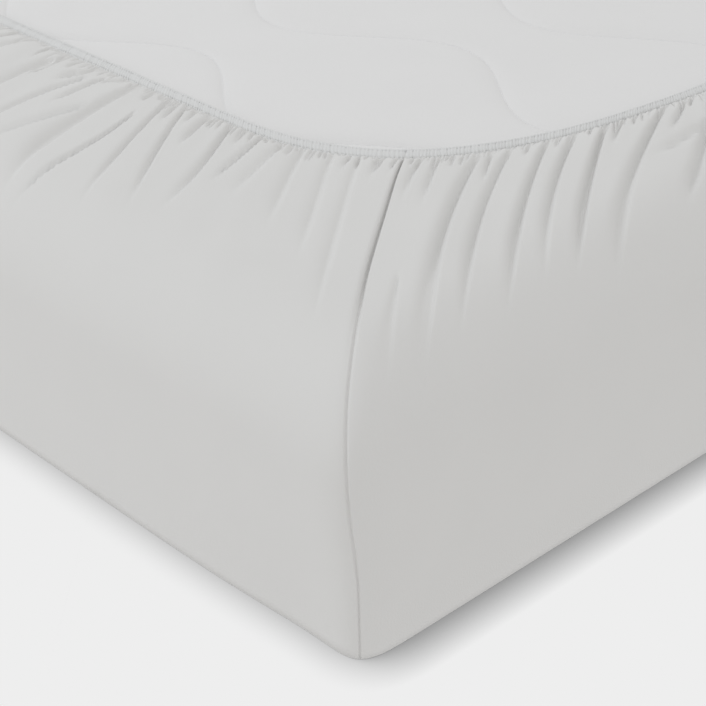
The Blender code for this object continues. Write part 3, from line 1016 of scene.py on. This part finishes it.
class SHEET_OT_hem_stitches(bpy.types.Operator):
    """Sew the two rows of stitches that hold the elastic"""

    bl_idname = "sheet.hem_stitches"
    bl_label = "Hem stitches"

    def execute(self, context):
        settings = context.scene.fitted_sheet
        creases = Puckers(settings)
        along = creases.places + 0.5 * ROUND / len(creases.places)
        places, directions = [], []
        for row in STITCH_ROWS:
            run = np.full(len(along), row)
            points = world(along, run)
            directions.append(world(along + 0.0004, run) - points)
            points[:, 2] += HEM_THREAD + hem_height(along, row, settings)
            places.append(points)
        stitch = stitch_shape(length=0.0024, radius=0.00018)
        thread = sewing_thread("sheet thread", settings.thread)
        piece = sew("hem_stitches", stitch, places, directions, thread)
        ride(piece)
        return {"FINISHED"}


class SHEET_OT_quilting(bpy.types.Operator):
    """Sew the mattress's quilting along its waves, inside the hem"""

    bl_idname = "sheet.quilting"
    bl_label = "Quilting stitches"

    def execute(self, context):
        settings = context.scene.fitted_mattress
        pitch = settings.stitch_pitch
        places, directions = [], []
        for middle, sign in wave_lines():
            y = np.arange(QUILTING_IN - HALF_Y, HALF_Y - QUILTING_IN, pitch)
            x = middle + sign * wave_sway(y)
            inside = within_hem(x, y)
            x, y = x[inside], y[inside]
            z = mattress_height(x, y, settings) + QUILTING_THREAD
            places.append(np.stack([x, y, z], axis=1))
            slope = -sign * wave_slope(y)
            directions.append(np.stack([slope, np.ones_like(y), np.zeros_like(y)], axis=1))
        stitch = stitch_shape(length=pitch, radius=0.00035)
        thread = sewing_thread("quilting thread", settings.thread)
        piece = sew("quilting_stitches", stitch, places, directions, thread)
        ride(piece)
        return {"FINISHED"}


def within_hem(x, y):
    """Whether places lie inside the hem, where the mattress shows, with a little to spare."""
    past_x = WIDTH / 2 - np.abs(x) - HEM_IN_SIDE
    past_y = LENGTH / 2 - np.abs(y) - HEM_IN_END
    across = np.clip(1 - past_x / HEM_CORNER_X, 0, None)
    down = np.clip(1 - past_y / HEM_CORNER_Y, 0, None)
    return (past_x > 0) & (past_y > 0) & (across**HEM_POWER + down**HEM_POWER < 0.97)


# ---- the stage

CONTACT_REACH = 0.036  # how far the painted shade round the mattress spreads over the floor
SHADE_LEAN = 0.42  # the painted shade is stronger on the sides away from the key light


def studio_floor(colour):
    """Pale, matt studio table that glows evenly, with no lamp lighting it. Round what stands on it, its
    glow is darkened by painted shade from ambient occlusion, which only the camera sees.
    """
    material = bpy.data.materials.new("glowing studio table with painted shade")
    material.use_nodes = True
    tree = material.node_tree
    tree.nodes.clear()
    # painted shade: ambient occlusion near the mattress darkens the table's glow; its normal is tilted
    # so the shade leans away from the key light
    up = node(tree, "ShaderNodeCombineXYZ", X=-SHADE_LEAN, Y=SHADE_LEAN, Z=1.0)
    up = node(tree, "ShaderNodeVectorMath", {"operation": "NORMALIZE"}, _0=up.outputs["Vector"])
    shade = node(
        tree, "ShaderNodeAmbientOcclusion", {"samples": 24}, Color=colour, Distance=CONTACT_REACH,
        Normal=up.outputs["Vector"],
    )
    # the painted shade is shown to the camera only, so light bouncing off the table keeps its full
    # colour
    seen = node(tree, "ShaderNodeLightPath").outputs["Is Camera Ray"]
    shown = node(tree, "ShaderNodeMixRGB", _0=seen, _1=colour, _2=shade.outputs["Color"])
    table = node(tree, "ShaderNodeEmission", Color=shown.outputs["Color"], Strength=1.0)
    out = node(tree, "ShaderNodeOutputMaterial")
    tree.links.new(table.outputs["Emission"], out.inputs["Surface"])
    return material


CAMERA_OFFSET = Vector((-0.672, -0.701, 0.819))  # from the first corner, on the floor
CAMERA_TURN, CAMERA_PITCH = math.radians(43.7), math.radians(30.15)
CAMERA_LENS, PICTURE_WIDTH = 92.45, 36  # mm
LAMP_COLOUR = (0.88, 0.94, 1.0)


class SHEET_OT_stage(bpy.types.Operator):
    """Lay the floor, and place the studio light and the camera"""

    bl_idname = "sheet.stage"
    bl_label = "Stage"

    def execute(self, context):
        settings = context.scene.fitted_stage
        scene = context.scene
        bpy.ops.object.select_all(action="DESELECT")
        bpy.ops.mesh.primitive_plane_add(size=30, location=(0, 0, -0.0003))
        floor = context.active_object
        floor.name = "studio_floor"
        floor.data.materials.append(studio_floor(settings.floor))
        world_light = bpy.data.worlds.new("even studio light")
        world_light.use_nodes = True
        background = world_light.node_tree.nodes["Background"]
        background.inputs["Color"].default_value = (1, 1, 1, 1)
        background.inputs["Strength"].default_value = settings.sky
        scene.world = world_light
        add_lamp("key softbox", (-2.6, 2.6, 2.2), target=(-0.5, -0.7, 0.2), power=settings.key, size=1.6)
        add_lamp("top softbox", (-0.4, -0.5, 3.2), target=(-0.4, -0.5, 0.2), power=settings.top, size=2)
        camera = bpy.data.cameras.new("camera")
        camera.lens = CAMERA_LENS
        camera.sensor_width = PICTURE_WIDTH
        holder = bpy.data.objects.new("camera", camera)
        scene.collection.objects.link(holder)
        corner = Vector((-WIDTH / 2, -LENGTH / 2, 0))
        holder.location = corner + CAMERA_OFFSET
        flat = math.cos(CAMERA_PITCH)
        east, north = flat * math.sin(CAMERA_TURN), flat * math.cos(CAMERA_TURN)
        ahead = Vector((east, north, -math.sin(CAMERA_PITCH)))
        holder.rotation_euler = ahead.to_track_quat("-Z", "Y").to_euler()
        scene.camera = holder
        scene.view_settings.view_transform = "Standard"
        return {"FINISHED"}


def add_lamp(name, place, target, power, size):
    """A square area lamp that faces a target."""
    lamp = bpy.data.lights.new(name, "AREA")
    lamp.energy = power
    lamp.size = size
    lamp.color = LAMP_COLOUR
    holder = bpy.data.objects.new(name, lamp)
    bpy.context.scene.collection.objects.link(holder)
    holder.location = place
    holder.rotation_euler = (Vector(target) - Vector(place)).to_track_quat("-Z", "Y").to_euler()


# ---- panel, registration and the run


class SHEET_PT_panel(bpy.types.Panel):
    """Settings and steps in the 3D view's sidebar"""

    bl_idname = "SHEET_PT_panel"
    bl_label = "Fitted sheet"
    bl_space_type = "VIEW_3D"
    bl_region_type = "UI"
    bl_category = "Fitted sheet"

    def draw(self, context):
        for group_name in GROUPS:
            group = getattr(context.scene, group_name)
            box = self.layout.box()
            for name in group.bl_rna.properties.keys():
                if name not in {"rna_type", "name"}:
                    box.prop(group, name)
        for operator in OPERATORS:
            self.layout.operator(operator.bl_idname)


OPERATORS = (
    SHEET_OT_stage, SHEET_OT_mattress, SHEET_OT_quilting,
    SHEET_OT_panel, SHEET_OT_elastic, SHEET_OT_hem_stitches,
)
GROUPS = {
    "fitted_sheet": SheetSettings,
    "fitted_mattress": MattressSettings,
    "fitted_stage": StageSettings,
}
CLASSES = (*GROUPS.values(), *OPERATORS, SHEET_PT_panel)


def register():
    for item in CLASSES:
        bpy.utils.register_class(item)
    for name, group in GROUPS.items():
        setattr(bpy.types.Scene, name, PointerProperty(type=group))


def unregister():
    for name in GROUPS:
        delattr(bpy.types.Scene, name)
    for item in reversed(CLASSES):
        bpy.utils.unregister_class(item)


def main():
    register()
    bpy.ops.sheet.stage()
    bpy.ops.sheet.mattress()
    bpy.ops.sheet.quilting()
    bpy.ops.sheet.panel()
    bpy.ops.sheet.elastic()
    bpy.ops.sheet.hem_stitches()


if __name__ == "__main__":
    main()
